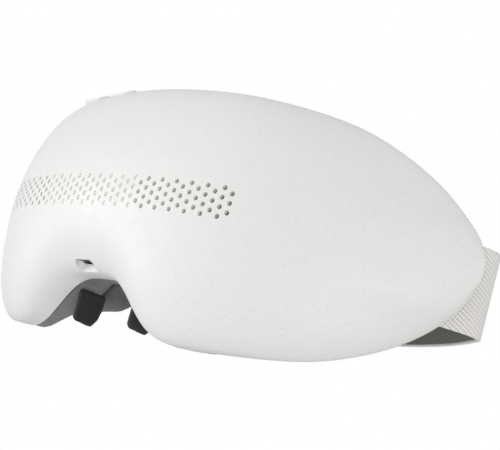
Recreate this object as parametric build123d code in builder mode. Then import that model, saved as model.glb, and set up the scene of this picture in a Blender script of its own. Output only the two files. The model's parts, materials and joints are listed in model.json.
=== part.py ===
"""Eye massager mask: a curved visor with a padded face side, warm air-bag pads and an elastic head strap.

Frame: millimetres, +Z up, the front of the visor faces -Y and the wearer's left is +X.
The origin is the middle of the bounding box, on the plane that the visor's lower rim stands on.
"""

import math
import os

from build123d import *

os.makedirs("parts", exist_ok=True)

# ---------------------------------------------------------------- driving dimensions
# Plan curve of the visor, walked as an arc length s from the middle of the front
FRONT_RADIUS = 170.0
FRONT_HALF_ARC = 36.0
TEMPLE_RADIUS = 84.0
TEMPLE_END_ARC = 95.0
WING_RADIUS = 180.0
TIP_ARC = 124.0

# Upright outline of the visor, measured from the line of the vent band
BAND_HEIGHT = 38.3
CROWN_RISE = 36.3
CROWN_FALL = 0.00070
LOBE_DROP = 38.5
LOBE_MIDDLE_ARC = 34.0
LOBE_FALL = 0.0013
NOSE_RISE = 16.1
NOSE_ARC = 26.1
NOSE_POWER = 3.5
TAPER_START_ARC = 76.0
TAPER_IN_POWER = 2.1
TAPER_OUT_POWER = 2.5
TAPER_OVERRUN = 0.6

# Roll of the cover from the front face to its rim
TOP_ROLL = 15.5
BOTTOM_ROLL = 12.0
ROLL_ANGLE = 84.0
COVER_WALL = 2.2
RIM_LENGTH = 4.8
RIM_TIP_LENGTH = 0.4
RIM_DIP = 0.12

# Raised arm that grows out of each wing towards the strap
ARM_START_ARC = 72.0
ARM_END_ARC = 118.0
ARM_HEIGHT = 1.7
ARM_TOP = 12.5
ARM_BOTTOM = -17.0
ARM_BLEND = 5.0

# Vent band: staggered columns of small holes, dimples in the middle and holes at both sides
VENT_PITCH = 5.25
VENT_ROW_STEP = 1.33
VENT_ROWS = 7
VENT_RADIUS = 0.7
VENT_LAST_COLUMN = 10.5
DIMPLE_LAST_COLUMN = 4.0
DIMPLE_RADIUS = 0.75
DIMPLE_DEPTH = 0.5

# Rear housing, face cushion and moving pads
HOUSING_WALL = 1.8
HOUSING_INSET = 4.0
HOUSING_CLEARANCE = 0.5
BODY_DEPTH = 27.0
WING_DEPTH = 12.2
FLANGE_GAP = 0.3
FLANGE_INSET = 0.4
FLANGE_DEPTH = 19.0
NOSE_FLANGE_DEPTH = 22.0
HOUSING_LOWEST = 9.5
CUSHION_GAP = 0.1
CUSHION_INSET = 1.0
CUSHION_NOSE_INSET = 2.0
CUSHION_LOWEST = 10.5
CUSHION_EDGE = 2.2
CUSHION_THICKNESS = 12.0
WING_CUSHION = 5.0
LAST_BODY_ARC = 106.0
EYE_ARC = 35.0
EYE_WIDTH = 44.0
EYE_TALL = 35.0
EYE_TRAVEL = 4.5
TEMPLE_ARC = 86.0
TEMPLE_WIDTH = 24.0
TEMPLE_TALL = 26.0
TEMPLE_LIFT = -3.0
PAD_CLEARANCE = 0.7
PAD_GAP = 1.4
PAD_THICKNESS = 5.0
TEMPLE_PAD_THICKNESS = 3.6
FILM_THICKNESS = 0.35
BLADDER_LOW = 0.25
BLADDER_THICKNESS = 0.4

# Strap: flat elastic that leaves each wing, turns in, folds and closes behind the head in one wide arc
STRAP_WIDTH = 24.0
STRAP_THICKNESS = 1.2
LINING_THICKNESS = 0.5
STRAP_EXIT_RADIUS = 14.0
STRAP_EXIT_TURN = 25.0
STRAP_FOLD_RADIUS = 5.0
STRAP_FOLD_TURN = 60.0
STRAP_DEPTH = 8.4
STRAP_CENTRE = -4.0
STRAP_START_ARC = 96.0
SLIDER_THICKNESS = 4.6
SLIDER_LENGTH = 14.0
SLIDER_WALL = 2.6
SLIDER_PLACE = 22.0


# ---------------------------------------------------------------- plan curve and outline
def plan_from_front(s):
    """Place and heading on the plan curve at arc s, with the middle of the front at y = 0."""
    reach = abs(s)
    x, y, heading, walked = 0.0, 0.0, 0.0, 0.0
    for radius, end in ((FRONT_RADIUS, FRONT_HALF_ARC), (TEMPLE_RADIUS, TEMPLE_END_ARC), (WING_RADIUS, 1e9)):
        step = min(reach, end) - walked
        if step <= 0:
            break
        turned = heading + step / radius
        x += radius * (math.sin(turned) - math.sin(heading))
        y += radius * (math.cos(heading) - math.cos(turned))
        heading = turned
        walked += step
    side = math.copysign(1.0, s)
    return side * x, y, side * heading


def strap_turns():
    """Turns of the strap's middle line from the wing tip to the middle of the back, as radius and degrees.

    Also gives where the middle line ends, behind the front of the visor, at x = 0.
    """
    x, y, heading = plan_from_front(TIP_ARC)
    x -= math.sin(heading) * STRAP_DEPTH
    y += math.cos(heading) * STRAP_DEPTH
    turns = [(STRAP_EXIT_RADIUS, STRAP_EXIT_TURN), (STRAP_FOLD_RADIUS, STRAP_FOLD_TURN)]
    for radius, degrees in turns:
        turned = heading + math.radians(degrees)
        x += radius * (math.sin(turned) - math.sin(heading))
        y += radius * (math.cos(heading) - math.cos(turned))
        heading = turned
    back_radius = x / math.sin(heading)
    turns.append((back_radius, 180 - math.degrees(heading)))
    return turns, y + back_radius * (math.cos(heading) + 1)


STRAP_TURNS, STRAP_BACK = strap_turns()
BACK_RADIUS = STRAP_TURNS[-1][0]
DEPTH = STRAP_BACK + SLIDER_THICKNESS / 2
FRONT_Y = -DEPTH / 2


def plan_at(s, depth=0.0):
    """Point on the plan curve at arc s, moved inwards by depth, and the heading there in radians."""
    x, y, heading = plan_from_front(s)
    return x - math.sin(heading) * depth, FRONT_Y + y + math.cos(heading) * depth, heading


def section_plane(s):
    """Upright plane across the visor at arc s: local x is inwards, local y is the height."""
    x, y, heading = plan_at(s)
    return Plane(
        origin=(x, y, 0),
        x_dir=(-math.sin(heading), math.cos(heading), 0),
        z_dir=(math.cos(heading), math.sin(heading), 0),
    )


def facing_plane(s, depth, lift):
    """Plane along the visor at arc s: local x is along it, local y is up, local z is outwards."""
    x, y, heading = plan_at(s, depth)
    return Plane(
        origin=(x, y, BAND_HEIGHT + lift),
        x_dir=(math.cos(heading), math.sin(heading), 0),
        z_dir=(math.sin(heading), -math.cos(heading), 0),
    )


def axle_plane(s, depth, lift, along=0.0):
    """Plane across an axle that lies along the visor at arc s: local z is along the visor."""
    face = facing_plane(s, depth, lift)
    return Plane(origin=face.from_local_coords((along, 0, 0)), x_dir=(0, 0, 1), z_dir=face.x_dir)


def smooth_step(value, low, high):
    t = min(1.0, max(0.0, (value - low) / (high - low)))
    return t * t * (3 - 2 * t)


def taper(s):
    """Share of the full height that the visor keeps towards its wing tips."""
    e = min(1.0, max(0.0, (abs(s) - TAPER_START_ARC) / (TIP_ARC + TAPER_OVERRUN - TAPER_START_ARC)))
    return (1 - e**TAPER_IN_POWER) ** (1 / TAPER_OUT_POWER)


def crown(s):
    """Height of the visor's top edge above the vent band's line."""
    return (CROWN_RISE - CROWN_FALL * s * s) * taper(s)


def drop(s):
    """How far the visor's lower edge lies under the vent band's line, with the nose notch."""
    lobe = LOBE_DROP - LOBE_FALL * max(0.0, abs(s) - LOBE_MIDDLE_ARC) ** 2
    notch = NOSE_RISE * math.exp(-((abs(s) / NOSE_ARC) ** NOSE_POWER))
    return (lobe - notch) * taper(s)


def roll(s, full):
    """Depth of the rolled edge, which shrinks towards the wing tips."""
    return full * (0.25 + 0.75 * taper(s))


def arm_rise(s, lift):
    """How far the arm stands out of the wing at a height from the vent band's line."""
    along = smooth_step(abs(s), ARM_START_ARC, ARM_END_ARC)
    under_top = 1 - smooth_step(lift, ARM_TOP - ARM_BLEND, ARM_TOP + ARM_BLEND / 2)
    over_bottom = smooth_step(lift, ARM_BOTTOM - ARM_BLEND / 2, ARM_BOTTOM + ARM_BLEND)
    return ARM_HEIGHT * along * under_top * over_bottom


def cover_point(s, angle, inset):
    """Local point of the cover's section: angle runs from -90 at the lower edge to 90 at the top."""
    tall, deep = (crown(s), roll(s, TOP_ROLL)) if angle >= 0 else (drop(s), roll(s, BOTTOM_ROLL))
    a = math.radians(angle)
    lift = (tall - inset) * math.sin(a)
    depth = deep - (deep - inset) * math.cos(a) - arm_rise(s, lift)
    return depth, BAND_HEIGHT + lift


def rim_length(s):
    """Length of the nearly straight rim that carries on from the bottom roll."""
    return RIM_LENGTH - (RIM_LENGTH - RIM_TIP_LENGTH) * smooth_step(abs(s), 45.0, 92.0)


def section_points(s, inset):
    """Points of one face of the cover's section, from its lower rim to its upper one."""
    start, foot = cover_point(s, -ROLL_ANGLE, inset)
    length = rim_length(s)
    rim = [(start + share * length, foot - RIM_DIP * length * share * (1.3 - share)) for share in (1.0, 0.5)]
    return rim + [cover_point(s, angle, inset) for angle in SECTION_ANGLES]


def body_depth(s):
    """Depth of the rear housing's back wall under the front face."""
    return BODY_DEPTH - (BODY_DEPTH - WING_DEPTH) * smooth_step(abs(s), 52.0, LAST_BODY_ARC)


def cushion_depth(s):
    return CUSHION_THICKNESS - (CUSHION_THICKNESS - WING_CUSHION) * smooth_step(abs(s), 60.0, LAST_BODY_ARC)


def cushion_inset(s, middle):
    """Step in from the cover's rim to the cushion, which grows from its value at the middle to the wings'."""
    return middle + (HOUSING_INSET - middle) * smooth_step(abs(s), 62.0, 82.0)


def flange_start(s):
    """Depth at which the housing steps out to the cover's lower rim."""
    return cover_point(s, -ROLL_ANGLE, wall_at(s))[0] + rim_length(s) + FLANGE_GAP


def flange_end(s):
    """Depth at which the housing leaves the line of the cover's lower rim again."""
    deep = FLANGE_DEPTH + (NOSE_FLANGE_DEPTH - FLANGE_DEPTH) * (1 - smooth_step(abs(s), 22.0, 38.0))
    return max(flange_start(s) + 0.5, min(body_depth(s) - 0.5, deep))


def flange_height(s):
    """Height of the housing's flange, flush with the rim in front and inside it at the wings."""
    inset = FLANGE_INSET + (HOUSING_INSET - 0.8 - FLANGE_INSET) * smooth_step(abs(s), 50.0, 80.0)
    return BAND_HEIGHT - drop(s) + inset


def wall_at(s):
    """Thickness of the cover, which thins a little towards the wing tips."""
    return COVER_WALL * (0.5 + 0.5 * taper(s))


def cover_reach(s, depth, upward):
    """How far from the band's line the cover's inner face stands, at a depth under the front."""
    tall, deep = (crown(s), roll(s, TOP_ROLL)) if upward else (drop(s), roll(s, BOTTOM_ROLL))
    share = max((deep - depth) / (deep - wall_at(s)), math.cos(math.radians(ROLL_ANGLE)))
    return (tall - wall_at(s)) * math.sqrt(1 - share * share)


def lip_depth(s, reach, upward):
    """Depth at which the cover's inner face leaves room for something that reaches this far."""
    tall, deep = (crown(s), roll(s, TOP_ROLL)) if upward else (drop(s), roll(s, BOTTOM_ROLL))
    share = min(1.0, (reach + HOUSING_CLEARANCE) / (tall - wall_at(s)))
    return deep - (deep - wall_at(s)) * math.sqrt(1 - share * share)


def cushion_span(s):
    """Top and bottom of the cushion at arc s."""
    near = body_depth(s)
    limit = cover_reach(s, near, True) - 0.6 if near < roll(s, TOP_ROLL) else crown(s)
    top = min(crown(s) - cushion_inset(s, CUSHION_INSET), limit)
    bottom = drop(s) - cushion_inset(s, CUSHION_NOSE_INSET)
    return BAND_HEIGHT + top, max(BAND_HEIGHT - bottom, CUSHION_LOWEST)


def mirrored(stations):
    """The same stations on both sides of the middle, from the right wing to the left."""
    return [-s for s in reversed(stations) if s > 0] + stations


def pad_slab(s_list, low, thickness):
    """Curved slab behind the housing, from low to low + thickness above its back wall."""
    with BuildPart(mode=Mode.PRIVATE) as slab:
        for s in s_list:
            with BuildSketch(section_plane(s)):
                with BuildLine():
                    near = body_depth(s) + low
                    far = near + thickness
                    Polyline(
                        (near, BAND_HEIGHT - 40),
                        (far, BAND_HEIGHT - 40),
                        (far, BAND_HEIGHT + 40),
                        (near, BAND_HEIGHT + 40),
                        close=True,
                    )
                make_face()
        loft(ruled=True)
    return slab.part


# ---------------------------------------------------------------- front cover
COVER_STATIONS = mirrored([0, 7.5, 15, 22.5, 30, 39, 49, 62, 75, 87, 98, 107, 113.5, 118.5, 122, TIP_ARC])
SECTION_ANGLES = [-ROLL_ANGLE + 2 * ROLL_ANGLE * i / 14 for i in range(15)]
POST_PLACES = [(side * s, lift) for side in (-1, 1) for s, lift in ((29, 25), (62, 21), (62, -22))]
POST_RADIUS = 2.2
POST_GAP = 1.0
SCREW_RADIUS = 0.85

# Buttons sit together on the rolled top edge, on the wearer's right
BUTTON_ARC = -25.0
BUTTON_ANGLE = 76.0
BUTTON_SPACING = 18.0
BUTTON_LENGTH = 12.0
BUTTON_WIDTH = 4.6
BUTTON_PLAY = 0.35
BUTTON_PROUD = 0.5
BUTTON_FLANGE_TOP = -3.4
BUTTON_FLANGE_BOTTOM = -4.2
BUTTON_TRAVEL = 0.6
BUTTON_SIDES = {"power_button": -1, "mode_button": 1}

# Charging port, a standard oval receptacle that opens downwards over the nose
PORT_DEPTH = 8.0
PORT_WIDTH = 8.94
PORT_TALL = 3.16
PORT_LENGTH = 7.3
PORT_TOP = -12.0
PORT_PLAY = 0.35


def button_plane(along, proud):
    """Plane on the cover's top edge with local z out of the surface."""
    depth, height = cover_point(BUTTON_ARC, BUTTON_ANGLE, 0)
    face = facing_plane(BUTTON_ARC, depth, height - BAND_HEIGHT)
    a = math.radians(BUTTON_ANGLE)
    tilt = math.atan2(math.cos(a) / roll(BUTTON_ARC, TOP_ROLL), math.sin(a) / crown(BUTTON_ARC))
    out = face.z_dir * math.sin(tilt) + Vector(0, 0, 1) * math.cos(tilt)
    return Plane(origin=face.origin + face.x_dir * along + out * proud, x_dir=face.x_dir, z_dir=out)


def port_plane(lift):
    return Plane(origin=(0, FRONT_Y + PORT_DEPTH, BAND_HEIGHT + lift))


def vent_places():
    """Arc, height and kind of every hole of the vent band."""
    places = []
    for row in range(VENT_ROWS):
        lift = (row - (VENT_ROWS - 1) / 2) * VENT_ROW_STEP
        shift = 0.0 if row % 2 == 0 else 0.5
        column = -VENT_LAST_COLUMN + (0.5 - shift)
        while column <= VENT_LAST_COLUMN:
            places.append((column * VENT_PITCH, lift, abs(column) <= DIMPLE_LAST_COLUMN))
            column += 1.0
    return places


with BuildPart() as front_cover:
    for s in COVER_STATIONS:
        wall = wall_at(s)
        outer = section_points(s, 0)
        inner = section_points(s, wall)[::-1]
        with BuildSketch(section_plane(s)):
            with BuildLine():
                Spline(*outer)
                Line(outer[-1], inner[0])
                Spline(*inner)
                Line(inner[-1], outer[0])
            make_face()
    loft()
    for s, lift in POST_PLACES:
        with BuildSketch(facing_plane(s, body_depth(s) - HOUSING_WALL - POST_GAP, lift)):
            Circle(POST_RADIUS)
        reach = 0.0
        for angle in range(-80, 81, 4):
            depth, height = cover_point(s, angle, 0)
            if abs(height - BAND_HEIGHT - lift) < 2.6:
                reach = max(reach, depth)
        extrude(amount=body_depth(s) - HOUSING_WALL - POST_GAP - reach - COVER_WALL / 2)
    cutters = []
    for s, lift in POST_PLACES:
        with BuildSketch(facing_plane(s, body_depth(s), lift), mode=Mode.PRIVATE) as pilot:
            Circle(SCREW_RADIUS)
        cutters.append(extrude(pilot.sketch, amount=7.0, mode=Mode.PRIVATE))
    for s, lift, is_dimple in vent_places():
        with BuildSketch(
            facing_plane(s, DIMPLE_DEPTH if is_dimple else COVER_WALL + 1.5, lift), mode=Mode.PRIVATE
        ) as vent:
            Circle(DIMPLE_RADIUS if is_dimple else VENT_RADIUS)
        cutters.append(extrude(vent.sketch, amount=6.0, mode=Mode.PRIVATE))
    for side in BUTTON_SIDES.values():
        with BuildSketch(button_plane(side * BUTTON_SPACING / 2, -4.5), mode=Mode.PRIVATE) as window:
            SlotOverall(BUTTON_LENGTH + 2 * BUTTON_PLAY, BUTTON_WIDTH + 2 * BUTTON_PLAY)
        cutters.append(extrude(window.sketch, amount=8.0, mode=Mode.PRIVATE))
    add(cutters, mode=Mode.SUBTRACT)
    with BuildSketch(button_plane(0, -4.5)):
        Circle(0.85)
    extrude(amount=8.0, mode=Mode.SUBTRACT)
    with BuildSketch(port_plane(-30)):
        SlotOverall(PORT_WIDTH + 2 * PORT_PLAY, PORT_TALL + 2 * PORT_PLAY)
    extrude(amount=30 + PORT_TOP - 2.0, mode=Mode.SUBTRACT)
    split(bisect_by=Plane.XY, keep=Keep.TOP)
front_cover.part.label = "front_cover"
export_step(front_cover.part, "parts/front_cover.step")
print("cover", front_cover.part.is_valid, len(front_cover.part.solids()), front_cover.part.bounding_box())

# ---------------------------------------------------------------- rear housing and face cushion
BODY_STATIONS = mirrored([0, 7, 14, 21, 28, 36, 44, 53, 62, 68, 74, 80, 86, 92, 98, LAST_BODY_ARC])

with BuildPart() as inner_housing:
    for s in BODY_STATIONS:
        back = body_depth(s)
        lip_top = min(lip_depth(s, crown(s) - HOUSING_INSET, True), back - HOUSING_WALL - 1.0)
        lip_bottom = min(lip_depth(s, drop(s) - HOUSING_INSET, False), back - HOUSING_WALL - 1.0)
        top = BAND_HEIGHT + min(crown(s) - HOUSING_INSET, cover_reach(s, lip_top, True) - HOUSING_CLEARANCE)
        bottom = BAND_HEIGHT - min(drop(s) - HOUSING_INSET, cover_reach(s, lip_bottom, False) - HOUSING_CLEARANCE)
        back_bottom = max(bottom, HOUSING_LOWEST)
        with BuildSketch(section_plane(s)):
            with BuildLine():
                Polyline(
                    (lip_top, top),
                    (back, top),
                    (back, back_bottom),
                    (flange_end(s), flange_height(s)),
                    (flange_start(s), flange_height(s)),
                    (flange_start(s), bottom),
                    (lip_bottom, bottom),
                    (lip_bottom, bottom + HOUSING_WALL),
                    (back - HOUSING_WALL, back_bottom + HOUSING_WALL),
                    (back - HOUSING_WALL, top - HOUSING_WALL),
                    (lip_top, top - HOUSING_WALL),
                    close=True,
                )
            make_face()
    loft(ruled=True)
    for s, lift in POST_PLACES:
        with BuildSketch(facing_plane(s, body_depth(s) + 1.0, lift)):
            Circle(SCREW_RADIUS + 0.1)
        extrude(amount=6.0, mode=Mode.SUBTRACT)
        with BuildSketch(facing_plane(s, body_depth(s) + 1.5, lift)):
            Circle(2.0)
        extrude(amount=2.8, mode=Mode.SUBTRACT)
    with BuildSketch(button_plane(0, -13.0)):
        RectangleRounded(BUTTON_SPACING + 20, 14, 2)
    extrude(amount=14.0, mode=Mode.SUBTRACT)
    with BuildSketch(port_plane(-30)):
        SlotOverall(PORT_WIDTH + 3, PORT_TALL + 3)
    extrude(amount=30 + PORT_TOP - 2.0, mode=Mode.SUBTRACT)
inner_housing.part.label = "inner_housing"
export_step(inner_housing.part, "parts/inner_housing.step")

EYES = {"right": -1, "left": 1}

with BuildPart() as face_cushion:
    for s in BODY_STATIONS:
        top, bottom = cushion_span(s)
        near = body_depth(s) + CUSHION_GAP
        far = near + cushion_depth(s)
        soft = CUSHION_EDGE
        with BuildSketch(section_plane(s)):
            with BuildLine():
                Polyline(
                    (near, top),
                    (far - soft, top),
                    (far, top - soft),
                    (far, bottom + soft),
                    (far - soft, bottom),
                    (near, bottom),
                    close=True,
                )
            make_face()
    loft(ruled=True)
    for side in EYES.values():
        with BuildSketch(facing_plane(side * EYE_ARC, 60, 0)):
            Ellipse(EYE_WIDTH / 2 + PAD_CLEARANCE, EYE_TALL / 2 + PAD_CLEARANCE)
        extrude(amount=55, mode=Mode.SUBTRACT)
        with BuildSketch(facing_plane(side * TEMPLE_ARC, 40, TEMPLE_LIFT)):
            RectangleRounded(TEMPLE_WIDTH + 2 * PAD_CLEARANCE, TEMPLE_TALL + 2 * PAD_CLEARANCE, 7 + PAD_CLEARANCE)
        extrude(amount=36, mode=Mode.SUBTRACT)
face_cushion.part.label = "face_cushion"
export_step(face_cushion.part, "parts/face_cushion.step")

# Each pad, its warming film and its air bladder fill one window of the cushion
for name, side in EYES.items():
    eye_stations = [side * s for s in (7, 14, 21, 28, 36, 44, 53, 62)]
    layers = {
        "pad": (PAD_GAP, PAD_THICKNESS),
        "film": (PAD_GAP - FILM_THICKNESS - 0.05, FILM_THICKNESS),
        "bladder": (BLADDER_LOW, BLADDER_THICKNESS),
    }
    for layer, (low, thickness) in layers.items():
        shrink = {"pad": 0.0, "film": 2.5, "bladder": 1.5}[layer]
        with BuildPart() as eye_layer:
            add(pad_slab(eye_stations, low, thickness))
            with BuildSketch(facing_plane(side * EYE_ARC, 60, 0)):
                Ellipse(EYE_WIDTH / 2 - shrink, EYE_TALL / 2 - shrink)
            extrude(amount=55, mode=Mode.INTERSECT)
        node = {"pad": "eye_pad", "film": "warming_film", "bladder": "eye_air_bladder"}[layer] + "_" + name
        eye_layer.part.label = node
        export_step(eye_layer.part, f"parts/{node}.step")

    temple_stations = [side * s for s in (62, 68, 74, 80, 86, 92, 98, LAST_BODY_ARC)]
    for part_name, low, thickness, shrink in (
        ("temple_pad", PAD_GAP, TEMPLE_PAD_THICKNESS, 0.0),
        ("temple_air_bladder", BLADDER_LOW, BLADDER_THICKNESS, 1.5),
    ):
        with BuildPart() as temple_layer:
            add(pad_slab(temple_stations, low, thickness))
            with BuildSketch(facing_plane(side * TEMPLE_ARC, 40, TEMPLE_LIFT)):
                RectangleRounded(TEMPLE_WIDTH - 2 * shrink, TEMPLE_TALL - 2 * shrink, 7 - shrink)
            extrude(amount=36, mode=Mode.INTERSECT)
        temple_layer.part.label = f"{part_name}_{name}"
        export_step(temple_layer.part, f"parts/{part_name}_{name}.step")

# Soft flaps that hang at both sides of the nose arch and keep the light out
FLAP_PLACE = 14.0
FLAP_THICKNESS = 1.4
FLAP_TOP = 12.9
FLAP_PROFILE = [(17.4, FLAP_TOP), (17.4, 4.2), (18.6, 3.0), (24.6, 2.6), (26.4, 5.2), (27.2, 9.0), (27.2, FLAP_TOP)]
for name, side in EYES.items():
    with BuildPart() as nose_flap:
        with BuildSketch(Plane.YZ.offset(side * FLAP_PLACE - FLAP_THICKNESS / 2)) as flap_face:
            with Locations((FRONT_Y, 0)):
                Polygon(*FLAP_PROFILE, align=None)
            fillet(flap_face.vertices().sort_by(Axis.Z)[:4], 1.0)
        extrude(amount=FLAP_THICKNESS)
    nose_flap.part.label = f"nose_flap_{name}"
    export_step(nose_flap.part, f"parts/nose_flap_{name}.step")

with BuildPart() as housing_screws:
    for s, lift in POST_PLACES:
        with BuildSketch(facing_plane(s, body_depth(s) - 1.1, lift)):
            Circle(SCREW_RADIUS)
        extrude(amount=5.4)
        with BuildSketch(facing_plane(s, body_depth(s) - 0.5, lift)):
            Circle(1.7)
        extrude(amount=0.7)
housing_screws.part.label = "housing_screws"
export_step(housing_screws.part, "parts/housing_screws.step")

# ---------------------------------------------------------------- charging port and control board
BOARD_DEPTH = 12.0
BOARD_WIDTH = 38.0
BOARD_TALL = 24.0
BOARD_LIFT = 14.0
BOARD_THICKNESS = 1.2

with BuildPart() as usb_port_shell:
    with BuildSketch(port_plane(PORT_TOP)):
        SlotOverall(PORT_WIDTH, PORT_TALL)
    extrude(amount=-PORT_LENGTH)
    with BuildSketch(port_plane(PORT_TOP - 0.8)):
        SlotOverall(PORT_WIDTH - 0.6, PORT_TALL - 0.6)
    extrude(amount=-PORT_LENGTH, mode=Mode.SUBTRACT)
usb_port_shell.part.label = "usb_port_shell"
export_step(usb_port_shell.part, "parts/usb_port_shell.step")

with BuildPart() as usb_tongue:
    with BuildSketch(port_plane(PORT_TOP - 0.8)):
        Rectangle(6.7, 0.7)
    extrude(amount=-4.6)
usb_tongue.part.label = "usb_tongue"
export_step(usb_tongue.part, "parts/usb_tongue.step")

with BuildPart() as charge_board:
    with BuildSketch(facing_plane(0, PORT_DEPTH + PORT_TALL / 2, PORT_TOP + 1.0)):
        RectangleRounded(18, 9, 1)
    extrude(amount=-1.0)
charge_board.part.label = "charge_board"
export_step(charge_board.part, "parts/charge_board.step")

with BuildPart() as main_board:
    with BuildSketch(facing_plane(0, BOARD_DEPTH, BOARD_LIFT)):
        RectangleRounded(BOARD_WIDTH, BOARD_TALL, 1.5)
        with GridLocations(BOARD_WIDTH - 5, BOARD_TALL - 5, 2, 2):
            Circle(1.0, mode=Mode.SUBTRACT)
    extrude(amount=-BOARD_THICKNESS)
main_board.part.label = "main_board"
export_step(main_board.part, "parts/main_board.step")

CHIPS = [(-6, 3, 7, 7, 1.1), (5, 5, 4, 4, 0.9), (5, -2, 5, 5, 2.2), (-6, -7, 9, 3.5, 3.0), (13, 0, 3.5, 8, 3.0)]
with BuildPart() as board_components:
    for along, up, wide, tall, thick in CHIPS:
        with BuildSketch(facing_plane(0, BOARD_DEPTH, BOARD_LIFT)):
            with Locations((along, up)):
                Rectangle(wide, tall)
        extrude(amount=thick)
board_components.part.label = "board_components"
export_step(board_components.part, "parts/board_components.step")

# ---------------------------------------------------------------- battery, pump, valve and hoses
BATTERY_ARC = 46.0
with BuildPart() as battery_pack:
    with BuildSketch(facing_plane(BATTERY_ARC, 14.5, -4)):
        RectangleRounded(34, 28, 2)
    extrude(amount=6.0)
    fillet(battery_pack.edges().group_by(Axis.Z)[-1], 0.6)
battery_pack.part.label = "battery_pack"
export_step(battery_pack.part, "parts/battery_pack.step")

PUMP_ARC = -46.0
PUMP_DEPTH = 12.2
PUMP_LIFT = 6.0
MOTOR_RADIUS = 6.8
MOTOR_START = -20.0
MOTOR_END = -4.0
SHAFT_RADIUS = 0.75
SHAFT_PLAY = 0.05

with BuildPart() as pump_motor:
    with BuildSketch(axle_plane(PUMP_ARC, PUMP_DEPTH, PUMP_LIFT, MOTOR_START)):
        Circle(MOTOR_RADIUS)
    extrude(amount=MOTOR_END - MOTOR_START)
    with BuildSketch(axle_plane(PUMP_ARC, PUMP_DEPTH, PUMP_LIFT, MOTOR_END)):
        Circle(SHAFT_RADIUS + SHAFT_PLAY)
    extrude(amount=-9.0, mode=Mode.SUBTRACT)
pump_motor.part.label = "pump_motor"
export_step(pump_motor.part, "parts/pump_motor.step")

with BuildPart() as pump_rotor:
    with BuildSketch(axle_plane(PUMP_ARC, PUMP_DEPTH, PUMP_LIFT, MOTOR_END - 8.5)):
        Circle(SHAFT_RADIUS)
    extrude(amount=12.0)
    with BuildSketch(axle_plane(PUMP_ARC, PUMP_DEPTH, PUMP_LIFT, MOTOR_END + 1.0)):
        with Locations((0.9, 0)):
            Circle(3.0)
    extrude(amount=3.0)
pump_rotor.part.label = "pump_rotor"
export_step(pump_rotor.part, "parts/pump_rotor.step")

with BuildPart() as pump_head:
    with BuildSketch(axle_plane(PUMP_ARC, PUMP_DEPTH, PUMP_LIFT, MOTOR_END)):
        RectangleRounded(14.0, 13.6, 2)
    extrude(amount=15.0)
    with BuildSketch(axle_plane(PUMP_ARC, PUMP_DEPTH, PUMP_LIFT, MOTOR_END)):
        Circle(4.8)
    extrude(amount=6.0, mode=Mode.SUBTRACT)
    with BuildSketch(axle_plane(PUMP_ARC, PUMP_DEPTH, PUMP_LIFT, MOTOR_END + 15.0)):
        Circle(1.5)
    extrude(amount=3.0)
pump_head.part.label = "pump_head"
export_step(pump_head.part, "parts/pump_head.step")

VALVE_ARC = -85.0
VALVE_DEPTH = 8.0
VALVE_LIFT = 10.0
with BuildPart() as valve_body:
    with BuildSketch(axle_plane(VALVE_ARC, VALVE_DEPTH, VALVE_LIFT, -5)):
        RectangleRounded(8, 8, 1)
    extrude(amount=9.0)
    with BuildSketch(axle_plane(VALVE_ARC, VALVE_DEPTH, VALVE_LIFT, 4)):
        Circle(1.55)
    extrude(amount=-5.0, mode=Mode.SUBTRACT)
valve_body.part.label = "valve_body"
export_step(valve_body.part, "parts/valve_body.step")

with BuildPart() as valve_plunger:
    with BuildSketch(axle_plane(VALVE_ARC, VALVE_DEPTH, VALVE_LIFT, 0)):
        Circle(1.5)
    extrude(amount=6.5)
    with BuildSketch(axle_plane(VALVE_ARC, VALVE_DEPTH, VALVE_LIFT, 5.3)):
        Circle(2.4)
    extrude(amount=1.2)
valve_plunger.part.label = "valve_plunger"
export_step(valve_plunger.part, "parts/valve_plunger.step")

with BuildPart() as air_manifold:
    with BuildSketch(facing_plane(-26, 18.6, -6)):
        RectangleRounded(10, 8, 1.5)
    extrude(amount=5.0)
air_manifold.part.label = "air_manifold"
export_step(air_manifold.part, "parts/air_manifold.step")

HOSE_RADIUS = 1.4
HOSE_ROUTES = {
    "air_hose_left": [(-20.2, 16.2, -6), (-13, 16.4, -6), (-4, 16.6, -8), (6, 16.6, -6), (15, 17.0, -7.5)],
    "air_hose_right": [(-26, 16.0, -10.3), (-26.6, 16.0, -15), (-33, 15.4, -18.5), (-43, 15.0, -16.5), (-53, 15.0, -14)],
}
for name, route in HOSE_ROUTES.items():
    points = []
    for s, depth, lift in route:
        x, y, heading = plan_at(s, depth)
        points.append(Vector(x, y, BAND_HEIGHT + lift))
    radii = []
    for before, here, after in zip(points, points[1:], points[2:]):
        turn = math.radians((here - before).get_angle(after - here))
        shorter = min((here - before).length, (after - here).length)
        radii.append(0.45 * shorter / math.tan(turn / 2))
    with BuildPart() as air_hose:
        with BuildLine() as hose_path:
            FilletPolyline(*points, radius=radii)
        with BuildSketch(Plane(origin=hose_path.line @ 0, z_dir=hose_path.line % 0)):
            Circle(HOSE_RADIUS)
        sweep()
    air_hose.part.label = name
    export_step(air_hose.part, f"parts/{name}.step")
    straight = math.pi * HOSE_RADIUS**2 * sum(edge.length for edge in hose_path.edges())
    print(name, "radii", [round(r) for r in radii], "volume ratio", round(air_hose.part.volume / straight, 3))

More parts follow.
